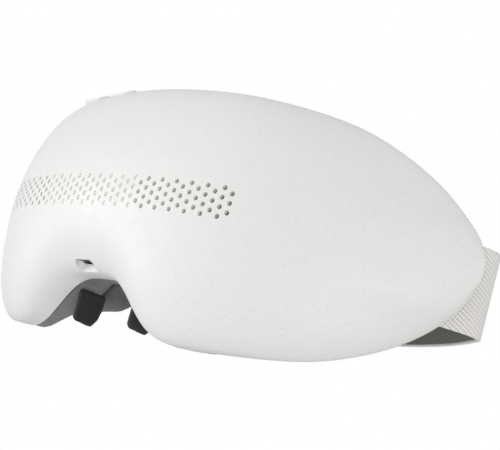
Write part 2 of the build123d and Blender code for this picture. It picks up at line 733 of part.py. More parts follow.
# ---------------------------------------------------------------- vibration motors and speakers
SHAKER_ARC = 34.0
SHAKER_DEPTH = 16.4
SHAKER_LIFT = -23.5
SPEAKER_ARC = 82.0
for name, side in EYES.items():
    with BuildPart() as vibration_motor:
        with BuildSketch(axle_plane(side * SHAKER_ARC, SHAKER_DEPTH, SHAKER_LIFT, -7)):
            Circle(2.6)
        extrude(amount=9.0)
        with BuildSketch(axle_plane(side * SHAKER_ARC, SHAKER_DEPTH, SHAKER_LIFT, 2)):
            Circle(0.45)
        extrude(amount=-5.0, mode=Mode.SUBTRACT)
    vibration_motor.part.label = f"vibration_motor_{name}"
    export_step(vibration_motor.part, f"parts/vibration_motor_{name}.step")

    with BuildPart() as vibration_weight:
        with BuildSketch(axle_plane(side * SHAKER_ARC, SHAKER_DEPTH, SHAKER_LIFT, -2.5)):
            Circle(0.4)
        extrude(amount=8.0)
        with BuildSketch(axle_plane(side * SHAKER_ARC, SHAKER_DEPTH, SHAKER_LIFT, 2.5)):
            Circle(2.5)
            with Locations((2.2, 0)):
                Rectangle(3.2, 6, mode=Mode.SUBTRACT)
        extrude(amount=3.0)
    vibration_weight.part.label = f"vibration_weight_{name}"
    export_step(vibration_weight.part, f"parts/vibration_weight_{name}.step")

    with BuildPart() as speaker:
        with BuildSketch(facing_plane(side * SPEAKER_ARC, 10.2, -8)):
            Circle(8.5)
        extrude(amount=2.4)
        with BuildSketch(facing_plane(side * SPEAKER_ARC, 7.8, -8)):
            Circle(7.0)
        extrude(amount=1.2)
    speaker.part.label = f"speaker_{name}"
    export_step(speaker.part, f"parts/speaker_{name}.step")

# ---------------------------------------------------------------- buttons and their board
for name, side in BUTTON_SIDES.items():
    along = side * BUTTON_SPACING / 2
    with BuildPart() as button:
        with BuildSketch(button_plane(along, BUTTON_FLANGE_TOP)):
            SlotOverall(BUTTON_LENGTH, BUTTON_WIDTH)
        extrude(amount=BUTTON_PROUD - BUTTON_FLANGE_TOP)
        fillet(button.faces().sort_by(Axis.Z)[-1].edges(), 0.45)
        with BuildSketch(button_plane(along, BUTTON_FLANGE_BOTTOM)):
            SlotOverall(BUTTON_LENGTH + 1.6, BUTTON_WIDTH + 1.6)
        extrude(amount=BUTTON_FLANGE_TOP - BUTTON_FLANGE_BOTTOM)
    button.part.label = name
    export_step(button.part, f"parts/{name}.step")

SWITCH_TOP = BUTTON_FLANGE_BOTTOM - BUTTON_TRAVEL - 0.1
SWITCH_TALL = 1.6
with BuildPart() as button_switches:
    for side in BUTTON_SIDES.values():
        with BuildSketch(button_plane(side * BUTTON_SPACING / 2, SWITCH_TOP)):
            RectangleRounded(4.5, 4.5, 0.5)
        extrude(amount=-SWITCH_TALL)
button_switches.part.label = "button_switches"
export_step(button_switches.part, "parts/button_switches.step")

with BuildPart() as button_board:
    with BuildSketch(button_plane(0, SWITCH_TOP - SWITCH_TALL)):
        RectangleRounded(28, 4.6, 1)
    extrude(amount=-0.8)
button_board.part.label = "button_board"
export_step(button_board.part, "parts/button_board.step")

with BuildPart() as status_light:
    with BuildSketch(button_plane(0, 0.0)):
        Circle(0.8)
    extrude(amount=SWITCH_TOP - SWITCH_TALL)
status_light.part.label = "status_light"
export_step(status_light.part, "parts/status_light.step")

# ---------------------------------------------------------------- strap, its anchors and its slider
def strap_outline(outer, inner):
    """Half of the strap's plan, between two offsets outwards from its middle line."""
    heading = plan_at(TIP_ARC)[2]
    ends = []
    for offset in (outer, inner):
        points = [plan_at(s, STRAP_DEPTH - offset)[:2] for s in (STRAP_START_ARC, 110.0, TIP_ARC)]
        ThreePointArc(*points)
        place, tangent = points[-1], Vector(math.cos(heading), math.sin(heading))
        for radius, degrees in STRAP_TURNS:
            bend = JernArc(place, tangent, radius + offset, degrees)
            place, tangent = bend @ 1, bend % 1
        ends.append((points[0], place))
    Line(ends[0][0], ends[1][0])
    Line(ends[0][1], ends[1][1])


for name, outer, inner in (
    ("strap_band", STRAP_THICKNESS / 2, -STRAP_THICKNESS / 2),
    ("strap_lining", -STRAP_THICKNESS / 2, -STRAP_THICKNESS / 2 - LINING_THICKNESS),
):
    with BuildPart() as strap_layer:
        with BuildSketch(Plane.XY.offset(BAND_HEIGHT + STRAP_CENTRE - STRAP_WIDTH / 2)):
            with BuildLine():
                strap_outline(outer, inner)
            make_face()
            mirror(about=Plane.YZ)
        extrude(amount=STRAP_WIDTH)
    strap_layer.part.label = name
    export_step(strap_layer.part, f"parts/{name}.step")

ANCHOR_ARC = 100.0
for name, side in EYES.items():
    with BuildPart() as strap_anchor:
        with BuildSketch(facing_plane(side * ANCHOR_ARC, STRAP_DEPTH + 1.25, STRAP_CENTRE)):
            RectangleRounded(7, 21, 1)
        extrude(amount=-0.6)
    strap_anchor.part.label = f"strap_anchor_{name}"
    export_step(strap_anchor.part, f"parts/strap_anchor_{name}.step")

    with BuildPart() as strap_clamp:
        with BuildSketch(facing_plane(side * ANCHOR_ARC, STRAP_DEPTH - 0.7, STRAP_CENTRE)):
            RectangleRounded(8, 18, 1)
        extrude(amount=0.8)
    strap_clamp.part.label = f"strap_clamp_{name}"
    export_step(strap_clamp.part, f"parts/strap_clamp_{name}.step")

# The slider rides on the wide arc at the back, about that arc's centre
BACK_CENTRE_Y = FRONT_Y + STRAP_BACK - BACK_RADIUS
slider_turn = SLIDER_PLACE / BACK_RADIUS
slider_radius = BACK_RADIUS - LINING_THICKNESS / 2
slider_way = Vector(math.cos(slider_turn), -math.sin(slider_turn), 0)
slider_out = Vector(math.sin(slider_turn), math.cos(slider_turn), 0)
slider_place = Vector(0, BACK_CENTRE_Y, BAND_HEIGHT + STRAP_CENTRE) + slider_out * slider_radius
with BuildPart() as strap_slider:
    with BuildSketch(Plane(origin=slider_place - slider_way * SLIDER_LENGTH / 2, x_dir=(0, 0, 1), z_dir=slider_way)):
        RectangleRounded(STRAP_WIDTH + 2 * SLIDER_WALL, SLIDER_THICKNESS, 1.4)
        RectangleRounded(STRAP_WIDTH + 0.8, STRAP_THICKNESS + LINING_THICKNESS + 1.0, 0.6, mode=Mode.SUBTRACT)
    extrude(amount=SLIDER_LENGTH)
strap_slider.part.label = "strap_slider"
export_step(strap_slider.part, "parts/strap_slider.step")

# ---------------------------------------------------------------- joint axes and places, for the record
print("depth", DEPTH, "front", FRONT_Y, "back", FRONT_Y + STRAP_BACK, "strap centre", BACK_CENTRE_Y, BACK_RADIUS)
print("eye travel", facing_plane(EYE_ARC, 0, 0).z_dir * -1, "temple travel", facing_plane(TEMPLE_ARC, 0, 0).z_dir * -1)
print("button travel", button_plane(0, 0).z_dir * -1)
axles = {"pump": (PUMP_ARC, PUMP_DEPTH, PUMP_LIFT), "valve": (VALVE_ARC, VALVE_DEPTH, VALVE_LIFT)}
for name, side in EYES.items():
    axles[f"shaker {name}"] = (side * SHAKER_ARC, SHAKER_DEPTH, SHAKER_LIFT)
for name, place in axles.items():
    print(name, axle_plane(*place).origin, axle_plane(*place).z_dir)
print("rim strip", plan_at(43, 13.5))
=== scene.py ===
"""Eye massager mask: finishes, soft goods and stage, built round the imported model."""

import json
import math

import bmesh
import bpy
from bpy.props import FloatProperty, FloatVectorProperty, PointerProperty
from mathutils import Matrix, Vector
from mathutils.bvhtree import BVHTree
from mathutils.kdtree import KDTree


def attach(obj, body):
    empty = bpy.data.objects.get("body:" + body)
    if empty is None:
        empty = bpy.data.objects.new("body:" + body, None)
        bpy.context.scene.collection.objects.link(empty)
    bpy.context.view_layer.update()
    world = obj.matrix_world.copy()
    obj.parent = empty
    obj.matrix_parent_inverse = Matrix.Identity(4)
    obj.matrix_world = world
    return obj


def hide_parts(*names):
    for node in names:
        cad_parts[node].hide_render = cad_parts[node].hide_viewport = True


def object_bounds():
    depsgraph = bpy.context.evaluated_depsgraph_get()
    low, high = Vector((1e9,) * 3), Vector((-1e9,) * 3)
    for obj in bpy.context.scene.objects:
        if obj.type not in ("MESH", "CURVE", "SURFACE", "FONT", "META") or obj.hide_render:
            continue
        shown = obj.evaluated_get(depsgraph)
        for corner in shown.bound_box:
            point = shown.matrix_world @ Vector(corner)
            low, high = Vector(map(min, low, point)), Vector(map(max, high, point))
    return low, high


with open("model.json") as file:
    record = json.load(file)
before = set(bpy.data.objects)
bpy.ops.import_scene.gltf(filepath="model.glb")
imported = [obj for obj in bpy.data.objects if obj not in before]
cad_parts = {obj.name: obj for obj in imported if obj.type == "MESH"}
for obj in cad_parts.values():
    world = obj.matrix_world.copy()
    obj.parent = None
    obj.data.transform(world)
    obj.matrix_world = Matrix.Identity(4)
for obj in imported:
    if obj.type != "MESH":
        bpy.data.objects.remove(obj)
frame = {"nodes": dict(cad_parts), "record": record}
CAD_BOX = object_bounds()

bl_info = {
    "name": "Eye Massager Mask",
    "version": (1, 0, 0),
    "blender": (4, 5, 0),
    "location": "View3D > Sidebar > Eye Mask",
    "description": "Finishes, padding, strap and studio stage of an eye massager mask",
    "category": "Object",
}

NODES = frame["nodes"]
BODIES = frame["record"]["behaviour"]["bodies"]
MM = 0.001
SIDES = {"right": -1, "left": 1}

# Where the visor's front stands, and the height of its vent band, in metres
FRONT_Y = CAD_BOX[0].y
BAND_Z = 38.3 * MM
# Plan line of the visor: pairs of a radius and the arc at which it ends, in metres
PLAN = ((0.170, 0.036), (0.084, 0.095), (0.180, 1.0))

# Strap, in mm from the visor's front: it leaves the wing's tip, turns by (radius, degrees), then closes
WING_TIP = Vector((100.388, 58.935))
WING_HEADING = math.radians(61.608)
STRAP_DEPTH = 8.4
STRAP_LEAD_IN = 26.0
STRAP_TURNS = ((14.0, 25.0), (5.0, 60.0))
STRAP_DROP = 4.0 * MM
STRAP_EDGE = 0.22 * MM
STRAP_ROWS = 12
STRAP_MAP = "strap"
# The weave is mirrored about the middle of the strap and fades out where the strap enters the wing
STRAP_HALF = 136.4 * MM
WEAVE_FADE = (38 * MM, 26 * MM)
# Name, slot, node, offset outwards from the middle line, thickness and width of each layer, in mm
STRAP_LAYERS = (
    ("elastic_band", "strap_light", "strap_band", 0.6, 1.2, 24.0),
    # The inner layer is coloured dark grey: it gives the dark face seen inside the strap where the strap
    # turns
    ("brushed_lining", "strap_dark", "strap_lining", -0.62, 0.45, 23.2),
)

# Cushion seam: its line is found every ARC_STEP along the visor, looking up and down from two starts
SEAM_ARCS = 48
SEAM_ARC_STEP = 2.0 * MM
SEAM_SEARCH = 0.8 * MM
SEAM_ABOVE = 20 * MM
SEAM_BELOW = 18.5 * MM
SEAM_BELOW_WING = 19 * MM
WING_ARC = 60 * MM
SEAM_INSET = 4.2 * MM
SEAM_REACH = 1.8 * MM
SEAM_DEEP = 0.75 * MM
SEAM_PLACES = 0.5 * MM
THREAD = 0.55 * MM
CUSHION_VOXEL = 1.4 * MM

# Each pad's place along the visor, its height over the band and its half sizes, in metres
PAD_SHAPES = {"eye": (0.035, 0.0, 0.022, 0.0175), "temple": (0.086, -0.003, 0.012, 0.013)}
# Power of the outline that the sewn rings follow: an ellipse, and a squarer one
PAD_OUTLINES = {"eye": 2.0, "temple": 4.0}
CHANNEL_RINGS = {"eye": (0.80, 0.42), "temple": (0.70,)}
CHANNEL_HALF = 1.5 * MM
CHANNEL_DEEP = 0.6 * MM
PAD_VOXEL = 1.1 * MM
PAD_SWELL = 0.45 * MM

FLAP_VOXEL = 0.4 * MM
FLAP_ROUNDS = 12


# ------------------------------------------------------------------ sizes and colours a user may change
class EyeMaskSizes(bpy.types.PropertyGroup):
    speckle: FloatProperty(
        name="Speckle size", description="Size of the fine grey specks in the shell",
        default=0.7 * MM, unit="LENGTH"
    )
    weave: FloatProperty(
        name="Strap rib pitch", description="Distance between two ribs of the strap",
        default=0.86 * MM, unit="LENGTH"
    )
    stitch: FloatProperty(
        name="Stitch length", description="Length of one stitch on the cushion",
        default=2.6 * MM, unit="LENGTH"
    )
    swell: FloatProperty(
        name="Padding swell", description="How far the padding may swell", default=0.9 * MM, unit="LENGTH"
    )


class EyeMaskColours(bpy.types.PropertyGroup):
    shell: FloatVectorProperty(
        name="Shell", description="Moulded front cover",
        subtype="COLOR", size=3, default=(0.83, 0.825, 0.81)
    )
    housing: FloatVectorProperty(
        name="Housing", description="Moulded rear housing",
        subtype="COLOR", size=3, default=(0.20, 0.198, 0.19)
    )
    cushion: FloatVectorProperty(
        name="Cushion", description="Coated fabric of the face cushion",
        subtype="COLOR", size=3, default=(0.105, 0.104, 0.100)
    )
    flap: FloatVectorProperty(
        name="Nose flap", description="Soft light-blocking flaps",
        subtype="COLOR", size=3, default=(0.022, 0.022, 0.022)
    )
    band: FloatVectorProperty(
        name="Strap", description="Woven face of the elastic strap",
        subtype="COLOR", size=3, default=(0.86, 0.84, 0.81)
    )
    lining: FloatVectorProperty(
        name="Strap lining", description="Brushed inner face of the strap",
        subtype="COLOR", size=3, default=(0.135, 0.133, 0.117)
    )


def sizes():
    return bpy.context.scene.eye_mask_sizes


def colours():
    return bpy.context.scene.eye_mask_colours


# ------------------------------------------------------------------ materials
class Finish:
    """A principled material with object coordinates ready for its patterns."""

    def __init__(self, name, colour, roughness, metallic=0.0, specular=0.5):
        self.material = bpy.data.materials.new(name)
        self.material.use_nodes = True
        self.nodes = self.material.node_tree.nodes
        self.links = self.material.node_tree.links
        self.shader = self.nodes["Principled BSDF"]
        self.shader.inputs["Base Color"].default_value = (*colour, 1)
        self.shader.inputs["Roughness"].default_value = roughness
        self.shader.inputs["Metallic"].default_value = metallic
        self.shader.inputs["Specular IOR Level"].default_value = specular
        self.place = self.nodes.new("ShaderNodeTexCoord").outputs["Object"]
        self.height = None

    def node(self, kind, **inputs):
        made = self.nodes.new(kind)
        for key, value in inputs.items():
            slot = made.inputs[key.replace("_", " ")] if key.replace("_", " ") in made.inputs else None
            if slot is None:
                setattr(made, key, value)
            elif hasattr(value, "links"):
                self.links.new(value, slot)
            else:
                slot.default_value = value
        return made

    def noise(self, scale, detail=3.0, rough=0.55, place=None):
        """Soft cloudy pattern, scale in waves per metre."""
        return self.node(
            "ShaderNodeTexNoise", Vector=place or self.place, Scale=scale, Detail=detail, Roughness=rough
        ).outputs["Fac"]

    def cells(self, scale, feature="F1"):
        """Distance to the nearest cell point or cell edge."""
        made = self.node("ShaderNodeTexVoronoi", Vector=self.place, Scale=scale)
        made.feature = feature
        return made.outputs["Distance"]

    def ramp(self, value, low, high, dark=0.0, light=1.0):
        """Stretches a value from low..high to dark..light."""
        made = self.node("ShaderNodeMapRange", Value=value)
        for key, number in zip(("From Min", "From Max", "To Min", "To Max"), (low, high, dark, light)):
            made.inputs[key].default_value = number
        return made.outputs["Result"]

    def math(self, kind, first, second=0.0):
        """One step of arithmetic on numbers or patterns."""
        made = self.nodes.new("ShaderNodeMath")
        made.operation = kind
        for slot, value in zip(made.inputs, (first, second)):
            if hasattr(value, "links"):
                self.links.new(value, slot)
            else:
                slot.default_value = value
        return made.outputs[0]

    def tint(self, factor, other):
        """Mixes another colour over the base colour by a 0 to 1 pattern."""
        mix = self.nodes.new("ShaderNodeMix")
        mix.data_type = "RGBA"
        self.links.new(factor, mix.inputs["Factor"])
        base = self.shader.inputs["Base Color"]
        if base.is_linked:
            self.links.new(base.links[0].from_socket, mix.inputs[6])
        else:
            mix.inputs[6].default_value = base.default_value
        mix.inputs[7].default_value = (*other, 1)
        self.links.new(mix.outputs[2], base)

    def vary_roughness(self, pattern, low, high):
        """Lets a pattern move the roughness between two values."""
        self.links.new(self.ramp(pattern, 0.3, 0.7, low, high), self.shader.inputs["Roughness"])

    def bump(self, pattern, strength, distance):
        """Adds relief over any relief made before."""
        made = self.node("ShaderNodeBump", Height=pattern, Strength=strength, Distance=distance)
        if self.height is not None:
            self.links.new(self.height, made.inputs["Normal"])
        self.height = made.outputs["Normal"]
        self.links.new(self.height, self.shader.inputs["Normal"])

    def map_uv(self):
        """Metres along and across the strap, from its own map."""
        return self.node("ShaderNodeUVMap", uv_map=STRAP_MAP).outputs["UV"]


def shell_finish():
    """Pale mineral-filled plastic: matt, with fine grey specks and a faint moulded grain."""
    f = Finish("shell_white", colours().shell, 0.46, specular=0.42)
    specks = f.noise(1 / sizes().speckle, 2.0, 0.4)
    f.tint(f.ramp(specks, 0.62, 0.74, 0.0, 0.20), (0.42, 0.41, 0.40))
    f.tint(f.ramp(f.noise(0.45 / sizes().speckle, 4.0), 0.45, 0.70, 0.0, 0.14), (0.70, 0.695, 0.685))
    f.tint(f.ramp(f.noise(9.0, 2.0), 0.35, 0.75, 0.0, 0.12), (0.74, 0.735, 0.725))
    f.vary_roughness(f.noise(160.0, 3.0), 0.42, 0.52)
    f.bump(f.noise(2600.0, 2.0), 0.10, 0.05 * MM)
    return f.material


def grained_finish(name, colour, roughness=0.55, grain=1500.0, depth=0.12):
    """Moulded plastic with a fine spark-eroded texture."""
    f = Finish(name, colour, roughness)
    pale = tuple(min(1.0, c * 1.25 + 0.01) for c in colour)
    f.tint(f.ramp(f.noise(25.0, 3.0), 0.35, 0.7, 0.0, 0.35), pale)
    f.vary_roughness(f.noise(220.0, 2.0), roughness - 0.06, roughness + 0.07)
    f.bump(f.noise(grain, 2.0), depth, 0.08 * MM)
    return f.material


def leather_finish(name, colour):
    """Soft coated fabric with a fine pebbled grain."""
    f = Finish(name, colour, 0.62, specular=0.35)
    pale = tuple(c * 1.35 + 0.012 for c in colour)
    f.tint(f.ramp(f.noise(60.0, 4.0), 0.35, 0.7, 0.0, 0.45), pale)
    grain = f.cells(1150.0)
    f.tint(f.ramp(grain, 0.45, 0.85, 0.0, 0.35), tuple(c * 0.55 for c in colour))
    f.vary_roughness(f.noise(300.0, 2.0), 0.56, 0.70)
    f.bump(grain, 0.30, 0.10 * MM)
    f.bump(f.noise(90.0, 3.0), 0.18, 0.35 * MM)
    f.shader.inputs["Sheen Weight"].default_value = 0.12
    f.shader.inputs["Sheen Roughness"].default_value = 0.45
    return f.material


def knit_finish(name, colour):
    """Fine warp knit over the moving pads, its loops in staggered rows."""
    f = Finish(name, colour, 0.86, specular=0.2)
    split = f.node("ShaderNodeSeparateXYZ", Vector=f.place).outputs
    across = f.math("SINE", f.math("MULTIPLY", split[0], 5200.0))
    up = f.math("SINE", f.math("MULTIPLY", split[2], 5200.0))
    loops = f.math("MULTIPLY", across, up)
    f.tint(f.ramp(loops, -0.2, 0.9, 0.0, 0.5), tuple(c * 1.7 + 0.02 for c in colour))
    f.tint(f.ramp(f.noise(55.0, 4.0), 0.4, 0.7, 0.0, 0.35), tuple(c * 0.7 for c in colour))
    f.bump(loops, 0.5, 0.15 * MM)
    f.bump(f.noise(140.0, 3.0), 0.2, 0.3 * MM)
    f.shader.inputs["Sheen Weight"].default_value = 0.35
    f.shader.inputs["Sheen Roughness"].default_value = 0.5
    return f.material


def strap_finish():
    """Ribbed elastic: slanting ribs across the width, with darker gaps and a fleck of loose fibre."""
    f = Finish("strap_woven", colours().band, 0.88, specular=0.15)
    split = f.node("ShaderNodeSeparateXYZ", Vector=f.map_uv()).outputs
    turn = 2 * math.pi / sizes().weave
    mirror_u = f.math("ABSOLUTE", f.math("SUBTRACT", split[0], STRAP_HALF))
    slant = f.math("ADD", mirror_u, f.math("MULTIPLY", split[1], 0.55))
    ribs = f.math("SINE", f.math("MULTIPLY", slant, turn))
    cross = f.math("SUBTRACT", split[1], f.math("MULTIPLY", mirror_u, 0.5))
    picks = f.math("SINE", f.math("MULTIPLY", cross, turn * 0.72))
    gaps = f.math("MULTIPLY", f.math("ADD", ribs, 1.0), f.math("ADD", picks, 1.0))
    near_wing = f.ramp(mirror_u, STRAP_HALF - WEAVE_FADE[0], STRAP_HALF - WEAVE_FADE[1], 0.22, 1.0)
    f.tint(f.math("MULTIPLY", f.ramp(gaps, 1.3, 3.2, 0.0, 0.80), near_wing), (0.27, 0.26, 0.24))
    f.tint(f.ramp(f.noise(70.0, 4.0), 0.4, 0.72, 0.0, 0.30), (0.72, 0.70, 0.66))
    f.bump(f.math("SUBTRACT", 4.0, gaps), 0.45, 0.10 * MM)
    f.bump(f.noise(2400.0, 3.0), 0.25, 0.08 * MM)
    f.shader.inputs["Sheen Weight"].default_value = 0.25
    f.shader.inputs["Sheen Roughness"].default_value = 0.5
    return f.material


def lining_finish():
    """Dark grey inner layer of the strap, with a fuzzy bump and a little sheen."""
    f = Finish("strap_brushed", colours().lining, 0.95, specular=0.1)
    f.tint(f.ramp(f.noise(1500.0, 3.0), 0.4, 0.7, 0.0, 0.6), (0.19, 0.185, 0.17))
    f.tint(f.ramp(f.noise(120.0, 4.0), 0.4, 0.7, 0.0, 0.3), (0.08, 0.078, 0.07))
    f.bump(f.noise(1800.0, 4.0), 0.6, 0.18 * MM)
    f.shader.inputs["Sheen Weight"].default_value = 0.4
    f.shader.inputs["Sheen Roughness"].default_value = 0.4
    return f.material


def rubber_finish(name, colour):
    """Matt soft rubber with a dusty bloom."""
    f = Finish(name, colour, 0.58, specular=0.4)
    f.tint(f.ramp(f.noise(80.0, 4.0), 0.45, 0.75, 0.0, 0.5), tuple(c * 1.8 + 0.012 for c in colour))
    f.vary_roughness(f.noise(120.0, 3.0), 0.5, 0.68)
    f.bump(f.noise(1400.0, 2.0), 0.15, 0.06 * MM)
    return f.material


def metal_finish(name, colour, roughness, stretch=(1, 1, 12)):
    """Drawn or brushed metal, its lines running along one way of the piece."""
    f = Finish(name, colour, roughness, metallic=1.0)
    lines = f.node("ShaderNodeMapping", Vector=f.place)
    lines.inputs["Scale"].default_value = stretch
    brushed = f.noise(220.0, 4.0, 0.6, lines.outputs["Vector"])
    f.tint(f.ramp(brushed, 0.35, 0.7, 0.0, 0.35), tuple(c * 0.72 for c in colour))
    f.vary_roughness(brushed, roughness - 0.08, roughness + 0.14)
    f.bump(brushed, 0.08, 0.05 * MM)
    return f.material


def board_finish():
    """Green solder mask with faint copper traces under it."""
    f = Finish("board_green", (0.015, 0.12, 0.055), 0.32)
    traces = f.cells(420.0, feature="DISTANCE_TO_EDGE")
    f.tint(f.ramp(traces, 0.09, 0.05, 0.0, 0.55), (0.05, 0.26, 0.12))
    f.tint(f.ramp(f.cells(260.0), 0.10, 0.07, 0.0, 0.9), (0.62, 0.55, 0.36))
    f.bump(f.ramp(traces, 0.05, 0.09), 0.2, 0.03 * MM)
    return f.material


def clear_finish(name, colour, roughness, alpha):
    """Milky film or tube that lets some light through."""
    f = Finish(name, colour, roughness)
    f.tint(f.ramp(f.noise(150.0, 3.0), 0.4, 0.7, 0.0, 0.4), tuple(c * 0.8 for c in colour))
    f.shader.inputs["Subsurface Weight"].default_value = alpha
    f.shader.inputs["Subsurface Radius"].default_value = (0.002, 0.002, 0.002)
    f.bump(f.noise(500.0, 2.0), 0.1, 0.05 * MM)
    return f.material


def film_finish():
    """Amber film with the winding heater track printed on it."""
    f = Finish("warming_film", (0.50, 0.26, 0.07), 0.35)
    split = f.node("ShaderNodeSeparateXYZ", Vector=f.place).outputs
    track = f.math("SINE", f.math("MULTIPLY", split[2], 2600.0))
    f.tint(f.ramp(track, 0.25, 0.5, 0.0, 0.8), (0.30, 0.13, 0.04))
    f.bump(track, 0.2, 0.04 * MM)
    return f.material


FINISHES = {
    "shell_white": shell_finish,
    "housing_grey": lambda: grained_finish("housing_grey", colours().housing, 0.52),
    "cushion_grey": lambda: leather_finish("cushion_grey", colours().cushion),
    "pad_fabric": lambda: knit_finish("pad_knit", (0.135, 0.132, 0.127)),
    "flap_black": lambda: rubber_finish("flap_black", colours().flap),
    "film": film_finish,
    "bladder": lambda: clear_finish("bladder_film", (0.42, 0.42, 0.41), 0.4, 0.3),
    "steel": lambda: metal_finish("plated_steel", (0.60, 0.60, 0.60), 0.30),
    "board_green": board_finish,
    "chip_black": lambda: grained_finish("chip_resin", (0.02, 0.02, 0.022), 0.42, 1900.0),
    "battery_wrap": lambda: metal_finish("battery_foil", (0.58, 0.59, 0.61), 0.42, (1, 1, 1)),
    "hose_clear": lambda: clear_finish("hose_milky", (0.72, 0.72, 0.70), 0.35, 0.5),
    "motor_can": lambda: metal_finish("motor_can", (0.66, 0.66, 0.67), 0.26),
    "dark_plastic": lambda: grained_finish("dark_nylon", (0.045, 0.045, 0.046), 0.5, 1700.0),
    "light_pipe": lambda: clear_finish("light_pipe", (0.90, 0.92, 0.95), 0.2, 0.6),
    "strap_light": strap_finish,
    "strap_dark": lining_finish,
    "tungsten": lambda: metal_finish("sintered_weight", (0.36, 0.36, 0.38), 0.48, (1, 1, 1)),
}
_made = {}


def finish_of(slot):
    """The material of one slot of the record, made once."""
    if slot not in _made:
        _made[slot] = FINISHES[slot]()
    return _made[slot]


def slot_of(node):
    return next(p["material_slot"] for p in frame["record"]["subparts"] if p["node"] == node)


def body_of(node):
    return next(body for body, members in BODIES.items() if node in members)


# ------------------------------------------------------------------ shared modelling steps
def deselect():
    if bpy.context.object and bpy.context.object.mode != "OBJECT":
        bpy.ops.object.mode_set(mode="OBJECT")
    bpy.ops.object.select_all(action="DESELECT")


def activate(piece):
    deselect()
    piece.select_set(True)
    bpy.context.view_layer.objects.active = piece


def copy_of(node, name):
    """An own copy of a CAD node, with its loose triangles merged."""
    piece = bpy.data.objects.new(name, NODES[node].data.copy())
    bpy.context.scene.collection.objects.link(piece)
    piece.data.materials.clear()
    activate(piece)
    bpy.ops.object.mode_set(mode="EDIT")
    bpy.ops.mesh.select_all(action="SELECT")
    bpy.ops.mesh.remove_doubles(threshold=0.005 * MM)
    bpy.ops.object.mode_set(mode="OBJECT")
    bpy.ops.mesh.customdata_custom_splitnormals_clear()
    return piece


def apply_modifier(piece, kind, **settings):
    modifier = piece.modifiers.new(kind.lower(), kind)
    for key, value in settings.items():
        setattr(modifier, key, value)
    activate(piece)
    bpy.ops.object.modifier_apply(modifier=modifier.name)


def settle(piece, body, slot, *nodes):
    """Last steps of every new piece: smooth shading, finish, body and the CAD nodes it stands for."""
    activate(piece)
    bpy.ops.object.transform_apply(location=True, rotation=True, scale=True)
    bpy.ops.object.shade_smooth()
    if not piece.data.materials:
        piece.data.materials.append(finish_of(slot))
    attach(piece, body)
    if nodes:
        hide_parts(*nodes)
    deselect()
    return piece


def plan_at(arc, depth=0.0):
    """Point of the visor's plan at an arc from the middle, moved inwards by a depth, and the heading."""
    reach, x, y, heading, walked = abs(arc), 0.0, FRONT_Y, 0.0, 0.0
    for radius, end in PLAN:
        step = min(reach, end) - walked
        if step <= 0:
            break
        turned = heading + step / radius
        x += radius * (math.sin(turned) - math.sin(heading))
        y += radius * (math.cos(heading) - math.cos(turned))
        heading, walked = turned, walked + step
    side = math.copysign(1.0, arc)
    return Vector((side * (x - math.sin(heading) * depth), y + math.cos(heading) * depth)), side * heading


LOOK_FROM = 75 * MM
EDGE_DROP = 3.2


def back_point(tree, arc, height):
    """Where a line at this arc and height, coming from behind, first meets a piece."""
    place, heading = plan_at(arc, LOOK_FROM)
    ahead = Vector((math.sin(heading), -math.cos(heading), 0))
    return tree.ray_cast(Vector((place.x, place.y, height)), ahead, LOOK_FROM)[0]


def edge_height(tree, arc, start, step):
    """Height at which the flat back of a piece ends, going up or down from a start."""
    here = back_point(tree, arc, start)
    height = start
    while here is not None:
        beyond = back_point(tree, arc, height + step)
        if beyond is None or (beyond - here).length > EDGE_DROP * abs(step):
            break
        height, here = height + step, beyond
    return height


def press_seam(piece, places, reach, deep):
    """Pulls a piece in along a line of places, deepest on the line."""
    tree = KDTree(len(places))
    for index, place in enumerate(places):
        tree.insert(place, index)
    tree.balance()
    normals = [v.normal.copy() for v in piece.data.vertices]
    for vertex, normal in zip(piece.data.vertices, normals):
        near = tree.find(vertex.co)[2]
        if near < reach:
            share = 1 - (near / reach) ** 2
            vertex.co -= normal * deep * share * share


def along_line(places, pitch):
    """Evenly spaced places, with directions, along a closed line of places."""
    spaced, left = [], 0.0
    for here, there in zip(places, places[1:] + places[:1]):
        way = there - here
        while left < way.length:
            spaced.append((here + way.normalized() * left, way.normalized()))
            left += pitch
        left -= way.length
    return spaced


def stitch_line(name, places, length, thickness, out_of):
    """A row of stitches along a line: one stitch is modelled, then copied to each place."""
    deselect()
    bpy.ops.mesh.primitive_cylinder_add(vertices=8, radius=thickness / 2, depth=length * 0.62)
    first = bpy.context.object
    bpy.ops.object.mode_set(mode="EDIT")
    bpy.ops.mesh.select_all(action="SELECT")
    bpy.ops.mesh.bevel(offset=thickness * 0.3, segments=2, affect="EDGES")
    bpy.ops.object.mode_set(mode="OBJECT")
    row = bmesh.new()
    for place, way in along_line(places, length):
        out = out_of(place)
        turn = Matrix((out.cross(way), out, way)).transposed().to_4x4()
        whole = Matrix.Translation(place + out * thickness * 0.15) @ turn
        single = bmesh.new()
        single.from_mesh(first.data)
        single.transform(whole)
        scrap = bpy.data.meshes.new("stitch")
        single.to_mesh(scrap)
        single.free()
        row.from_mesh(scrap)
        bpy.data.meshes.remove(scrap)
    bpy.data.objects.remove(first)
    mesh = bpy.data.meshes.new(name)
    row.to_mesh(mesh)
    row.free()
    piece = bpy.data.objects.new(name, mesh)
    bpy.context.scene.collection.objects.link(piece)
    return piece


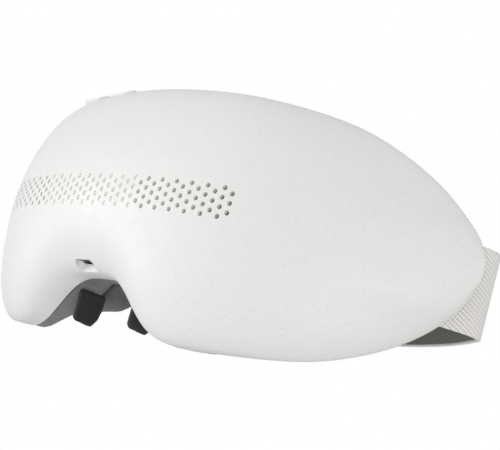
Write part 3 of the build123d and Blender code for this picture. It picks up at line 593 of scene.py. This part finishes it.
def swell(piece, voxel, cap, pressure=4.0, frames=20):
    """Pads a closed mesh out like filled fabric, no point moving further than cap."""
    apply_modifier(piece, "REMESH", mode="VOXEL", voxel_size=voxel)
    start = [v.co.copy() for v in piece.data.vertices]
    modifier = piece.modifiers.new("cloth", "CLOTH")
    cloth = modifier.settings
    cloth.use_pressure = True
    cloth.uniform_pressure_force = pressure
    cloth.effector_weights.gravity = 0.0
    cloth.tension_stiffness = 12
    cloth.compression_stiffness = 12
    cloth.shear_stiffness = 6
    cloth.bending_stiffness = 0.4
    cloth.mass = 0.15
    modifier.point_cache.frame_start = 1
    modifier.point_cache.frame_end = frames
    for number in range(1, frames + 1):
        bpy.context.scene.frame_set(number)
        bpy.context.view_layer.update()
    activate(piece)
    bpy.ops.object.modifier_apply(modifier=modifier.name)
    bpy.context.scene.frame_set(1)
    for vertex, rest in zip(piece.data.vertices, start):
        moved = vertex.co - rest
        if moved.length > cap:
            vertex.co = rest + moved * (cap / moved.length)
    apply_modifier(piece, "SMOOTH", factor=0.5, iterations=6)


# ------------------------------------------------------------------ operators
class EYEMASK_OT_hard_parts(bpy.types.Operator):
    """Give every carried-over CAD part its own finish"""

    bl_idname = "eyemask.hard_parts"
    bl_label = "Finish the hard parts"

    def execute(self, context):
        for node, part in NODES.items():
            part.data.materials.clear()
            part.data.materials.append(finish_of(slot_of(node)))
        return {"FINISHED"}


def smooth_loop(loop, rounds):
    """A closed line of number pairs, each moved towards the mean of its neighbours."""
    for _ in range(rounds):
        count = len(loop)
        loop = [
            tuple((loop[i - 1][k] + 2 * loop[i][k] + loop[(i + 1) % count][k]) / 4 for k in (0, 1))
            for i in range(count)
        ]
    return loop


def seam_places(tree):
    """The cushion's seam: a closed line on its back, set in from its upper and lower edges."""
    rows = []
    for number in range(-SEAM_ARCS, SEAM_ARCS + 1):
        arc = number * SEAM_ARC_STEP
        below = SEAM_BELOW_WING if abs(arc) > WING_ARC else SEAM_BELOW
        top = edge_height(tree, arc, BAND_Z + SEAM_ABOVE, SEAM_SEARCH) - SEAM_INSET
        low = edge_height(tree, arc, BAND_Z - below, -SEAM_SEARCH) + SEAM_INSET
        rows.append((arc, top, low))
    loop = [(arc, top) for arc, top, _ in rows] + [(arc, low) for arc, _, low in reversed(rows)]
    places = [back_point(tree, arc, height) for arc, height in smooth_loop(loop, 5)]
    return [place for place in places if place is not None]


def thread_finish():
    """Twisted polyester thread."""
    f = Finish("cushion_thread", (0.11, 0.11, 0.105), 0.6)
    f.tint(f.ramp(f.noise(900.0, 2.0), 0.4, 0.65, 0.0, 0.5), (0.20, 0.198, 0.19))
    f.bump(f.noise(2600.0, 2.0), 0.4, 0.1 * MM)
    return f.material


class EYEMASK_OT_cushion(bpy.types.Operator):
    """Pad the face cushion and lay its seam"""

    bl_idname = "eyemask.cushion"
    bl_label = "Face cushion"

    def execute(self, context):
        piece = copy_of("face_cushion", "padded_cushion")
        swell(piece, CUSHION_VOXEL, sizes().swell)
        apply_modifier(piece, "SUBSURF", levels=1, render_levels=1)
        tree = BVHTree.FromObject(piece, context.evaluated_depsgraph_get())
        places = seam_places(tree)
        dense = [p for p, _ in along_line(places, SEAM_PLACES)]
        press_seam(piece, dense, SEAM_REACH, SEAM_DEEP)
        settle(piece, "root", "cushion_grey", "face_cushion")
        tree = BVHTree.FromObject(piece, context.evaluated_depsgraph_get())
        sunk = [tree.find_nearest(p)[0] for p in places]
        stitches = stitch_line(
            "cushion_stitches", sunk, sizes().stitch, THREAD, lambda p: tree.find_nearest(p)[1].normalized()
        )
        stitches.data.materials.append(thread_finish())
        settle(stitches, "root", "cushion_grey")
        return {"FINISHED"}


def press_pattern(piece, place, side):
    """Sinks the sewn channels into a pad's face: rings that follow its outline."""
    arc, lift, half_wide, half_tall = PAD_SHAPES[place]
    middle, heading = plan_at(side * arc)
    along = Vector((math.cos(heading), math.sin(heading), 0))
    inwards = Vector((-math.sin(heading), math.cos(heading), 0))
    power = PAD_OUTLINES[place]
    for vertex in piece.data.vertices:
        if vertex.normal.dot(inwards) < 0.3:
            continue
        away = vertex.co - Vector((middle.x, middle.y, BAND_Z + lift))
        across, up = abs(away.dot(along)) / half_wide, abs(away.z) / half_tall
        radial = (across**power + up**power) ** (1 / power)
        for ring in CHANNEL_RINGS[place]:
            off = abs(radial - ring) * min(half_wide, half_tall)
            if off < CHANNEL_HALF:
                share = 1 - (off / CHANNEL_HALF) ** 2
                vertex.co -= inwards * CHANNEL_DEEP * share * share


class EYEMASK_OT_pads(bpy.types.Operator):
    """Pad the four moving pads that the air bladders press outwards"""

    bl_idname = "eyemask.pads"
    bl_label = "Massage pads"

    def execute(self, context):
        for place in ("eye", "temple"):
            for side in SIDES:
                node = f"{place}_pad_{side}"
                piece = copy_of(node, f"padded_{node}")
                swell(piece, PAD_VOXEL, PAD_SWELL)
                apply_modifier(piece, "SUBSURF", levels=1, render_levels=1)
                press_pattern(piece, place, SIDES[side])
                settle(piece, body_of(node), "pad_fabric", node)
        return {"FINISHED"}


def strap_path(offset, step=2.0):
    """Points of half the strap in mm, from wing to back, offset outwards from its middle line."""
    inwards = Vector((-math.sin(WING_HEADING), math.cos(WING_HEADING)))
    along = Vector((math.cos(WING_HEADING), math.sin(WING_HEADING)))
    place = WING_TIP + inwards * (STRAP_DEPTH - offset)
    points = [place - along * STRAP_LEAD_IN * share for share in (1, 0.75, 0.5, 0.25, 0)]
    heading = WING_HEADING
    middle = WING_TIP + inwards * STRAP_DEPTH
    for turn in (*STRAP_TURNS, None):
        radius, degrees = turn or (middle.x / math.sin(heading), 180 - math.degrees(heading))
        centre = middle + Vector((-math.sin(heading), math.cos(heading))) * radius
        count = max(6, round(radius * math.radians(degrees) / step))
        for number in range(1, count + 1):
            turned = heading + math.radians(degrees) * number / count
            out = Vector((math.sin(turned), -math.cos(turned)))
            points.append(centre + out * (radius + offset))
        heading += math.radians(degrees)
        middle = centre + Vector((math.sin(heading), -math.cos(heading))) * radius
    return points


def strap_sheet(name, offset, width):
    """A sheet laid along the strap's path, with its map in metres, and its length."""
    half = strap_path(offset)
    line = [Vector((-p.x, p.y)) for p in half] + [p.copy() for p in reversed(half[:-1])]
    centre_z = BAND_Z - STRAP_DROP
    deselect()
    bpy.ops.mesh.primitive_grid_add(x_subdivisions=len(line) - 1, y_subdivisions=STRAP_ROWS, size=1)
    piece = bpy.context.object
    piece.name = name
    mesh = piece.data
    front = FRONT_Y / MM
    travelled = [0.0]
    for before, here in zip(line, line[1:]):
        travelled.append(travelled[-1] + (here - before).length)
    uv = mesh.uv_layers.new(name=STRAP_MAP)
    columns = len(line)
    place_of = {}
    for vertex in mesh.vertices:
        column = round((vertex.co.x + 0.5) * (columns - 1))
        share = vertex.co.y
        place_of[vertex.index] = (travelled[column] * MM, share * width * MM)
        p = line[column]
        vertex.co = (p.x * MM, (p.y + front) * MM, centre_z + share * width * MM)
    for loop in mesh.loops:
        uv.data[loop.index].uv = place_of[loop.vertex_index]
    return piece, travelled[-1] * MM


class EYEMASK_OT_strap(bpy.types.Operator):
    """Weave the elastic strap and its brushed lining"""

    bl_idname = "eyemask.strap"
    bl_label = "Head strap"

    def execute(self, context):
        for name, slot, node, offset, thick, width in STRAP_LAYERS:
            piece, length = strap_sheet(name, offset, width)
            activate(piece)
            bpy.ops.object.mode_set(mode="EDIT")
            bpy.ops.mesh.select_all(action="SELECT")
            bpy.ops.mesh.normals_make_consistent(inside=False)
            bpy.ops.object.mode_set(mode="OBJECT")
            # The sheet lies on the layer's outer face, so its thickness goes towards the head
            behind = min(piece.data.polygons, key=lambda face: abs(face.center.x))
            inwards = -1.0 if behind.normal.y > 0 else 1.0
            apply_modifier(piece, "SOLIDIFY", thickness=thick * MM, offset=inwards)
            apply_modifier(piece, "BEVEL", width=STRAP_EDGE, segments=2, limit_method="ANGLE")
            settle(piece, "root", slot, node)
        return {"FINISHED"}


class EYEMASK_OT_flaps(bpy.types.Operator):
    """Round the soft nose flaps"""

    bl_idname = "eyemask.flaps"
    bl_label = "Nose flaps"

    def execute(self, context):
        for side in SIDES:
            node = f"nose_flap_{side}"
            piece = copy_of(node, f"soft_{node}")
            apply_modifier(piece, "REMESH", mode="VOXEL", voxel_size=FLAP_VOXEL)
            apply_modifier(piece, "SMOOTH", factor=0.5, iterations=FLAP_ROUNDS)
            settle(piece, "root", "flap_black", node)
        return {"FINISHED"}


# ------------------------------------------------------------------ stage
LENS = 100.8
SENSOR = 36
AZIMUTH = math.radians(51.0)
ELEVATION = math.radians(-10.8)
ROLL = math.radians(15.7)
DISTANCE = 384 * MM
AIM = Vector((44.3, 26.25, -0.7)) * MM
FLOOR_Z = -0.42
FLOOR_SIZE = 8
FLOOR_GLOW = 0.30
# Height range of the view direction, and the fill's strength at its low and high end
FILL = (-0.7, 0.8, 0.60, 0.66)
LAMP_AIM = Vector((0, 0, 0.04))
# Name, place, size and power of each lamp
LAMPS = (
    ("left_softbox", (-0.95, -0.95, 0.05), 0.6, 7.5),
    ("right_softbox", (0.85, -0.55, -0.35), 0.6, 5.4),
    ("top_softbox", (0.10, 0.35, 1.00), 0.9, 1.0),
)


def set_camera(context):
    """A long lens low at the left, rolled a little."""
    back = Vector(
        (
            math.sin(AZIMUTH) * math.cos(ELEVATION),
            -math.cos(AZIMUTH) * math.cos(ELEVATION),
            math.sin(ELEVATION),
        )
    )
    level = Vector((math.cos(AZIMUTH), math.sin(AZIMUTH), 0))
    rise = back.cross(level)
    right = level * math.cos(ROLL) + rise * math.sin(ROLL)
    up = rise * math.cos(ROLL) - level * math.sin(ROLL)
    aim = AIM + Vector((0, FRONT_Y, BAND_Z))
    camera_data = bpy.data.cameras.new("camera")
    camera_data.lens = LENS
    camera_data.sensor_width = SENSOR
    camera = bpy.data.objects.new("camera", camera_data)
    turn = Matrix((right, up, back)).transposed().to_4x4()
    camera.matrix_world = Matrix.Translation(aim + back * DISTANCE) @ turn
    context.scene.collection.objects.link(camera)
    context.scene.camera = camera


def lay_floor(context):
    """A pale floor well below the mask, seen by the camera only."""
    deselect()
    bpy.ops.mesh.primitive_plane_add(size=FLOOR_SIZE, location=(0, 0, FLOOR_Z))
    floor = context.object
    floor.name = "studio_floor"
    paper = Finish("studio_paper", (0.93, 0.93, 0.93), 0.9)
    paper.tint(paper.ramp(paper.noise(3.0), 0.3, 0.7, 0.0, 0.3), (0.91, 0.91, 0.91))
    paper.shader.inputs["Emission Color"].default_value = (1, 1, 1, 1)
    paper.shader.inputs["Emission Strength"].default_value = FLOOR_GLOW
    floor.data.materials.append(paper.material)
    floor.visible_diffuse = False
    floor.visible_glossy = False


def fill_light(context):
    """A white room: plain to the camera, and a little brighter above than below to everything else."""
    world = bpy.data.worlds.new("studio")
    world.use_nodes = True
    nodes, links = world.node_tree.nodes, world.node_tree.links
    fill = nodes["Background"]
    fill.inputs["Color"].default_value = (1, 1, 1, 1)
    ray = nodes.new("ShaderNodeTexCoord")
    split = nodes.new("ShaderNodeSeparateXYZ")
    height = nodes.new("ShaderNodeMapRange")
    links.new(ray.outputs["Generated"], split.inputs[0])
    links.new(split.outputs["Z"], height.inputs["Value"])
    for key, number in zip(("From Min", "From Max", "To Min", "To Max"), FILL):
        height.inputs[key].default_value = number
    links.new(height.outputs["Result"], fill.inputs["Strength"])
    sweep = nodes.new("ShaderNodeBackground")
    sweep.inputs["Color"].default_value = (1, 1, 1, 1)
    sweep.inputs["Strength"].default_value = 1.0
    path = nodes.new("ShaderNodeLightPath")
    mix = nodes.new("ShaderNodeMixShader")
    links.new(path.outputs["Is Camera Ray"], mix.inputs[0])
    links.new(fill.outputs[0], mix.inputs[1])
    links.new(sweep.outputs[0], mix.inputs[2])
    links.new(mix.outputs[0], nodes["World Output"].inputs["Surface"])
    context.scene.world = world
    context.scene.view_settings.view_transform = "Standard"


def hang_lamps(context):
    """Square soft lights that face the mask."""
    for name, place, size, power in LAMPS:
        lamp = bpy.data.lights.new(name, "AREA")
        lamp.shape = "SQUARE"
        lamp.size = size
        lamp.energy = power
        light = bpy.data.objects.new(name, lamp)
        light.location = place
        light.rotation_euler = (LAMP_AIM - Vector(place)).to_track_quat("-Z", "Y").to_euler()
        context.scene.collection.objects.link(light)


class EYEMASK_OT_stage(bpy.types.Operator):
    """Set the camera, the soft lights and the pale floor"""

    bl_idname = "eyemask.stage"
    bl_label = "Studio stage"

    def execute(self, context):
        set_camera(context)
        lay_floor(context)
        fill_light(context)
        hang_lamps(context)
        return {"FINISHED"}


class EYEMASK_PT_panel(bpy.types.Panel):
    """Sizes, colours and steps of the eye massager mask"""

    bl_idname = "EYEMASK_PT_panel"
    bl_label = "Eye massager mask"
    bl_space_type = "VIEW_3D"
    bl_region_type = "UI"
    bl_category = "Eye Mask"

    def draw(self, context):
        for group in (context.scene.eye_mask_sizes, context.scene.eye_mask_colours):
            for key in group.bl_rna.properties.keys():
                if key not in ("rna_type", "name"):
                    self.layout.prop(group, key)
        for step in STEPS:
            self.layout.operator(step.bl_idname)


STEPS = (
    EYEMASK_OT_stage,
    EYEMASK_OT_hard_parts,
    EYEMASK_OT_cushion,
    EYEMASK_OT_pads,
    EYEMASK_OT_flaps,
    EYEMASK_OT_strap,
)
CLASSES = (EyeMaskSizes, EyeMaskColours, *STEPS, EYEMASK_PT_panel)


def register():
    for item in CLASSES:
        bpy.utils.register_class(item)
    bpy.types.Scene.eye_mask_sizes = PointerProperty(type=EyeMaskSizes)
    bpy.types.Scene.eye_mask_colours = PointerProperty(type=EyeMaskColours)


def unregister():
    del bpy.types.Scene.eye_mask_colours
    del bpy.types.Scene.eye_mask_sizes
    for item in reversed(CLASSES):
        bpy.utils.unregister_class(item)


def main():
    register()
    for step in STEPS:
        group, name = step.bl_idname.split(".")
        getattr(getattr(bpy.ops, group), name)()


if __name__ == "__main__":
    main()
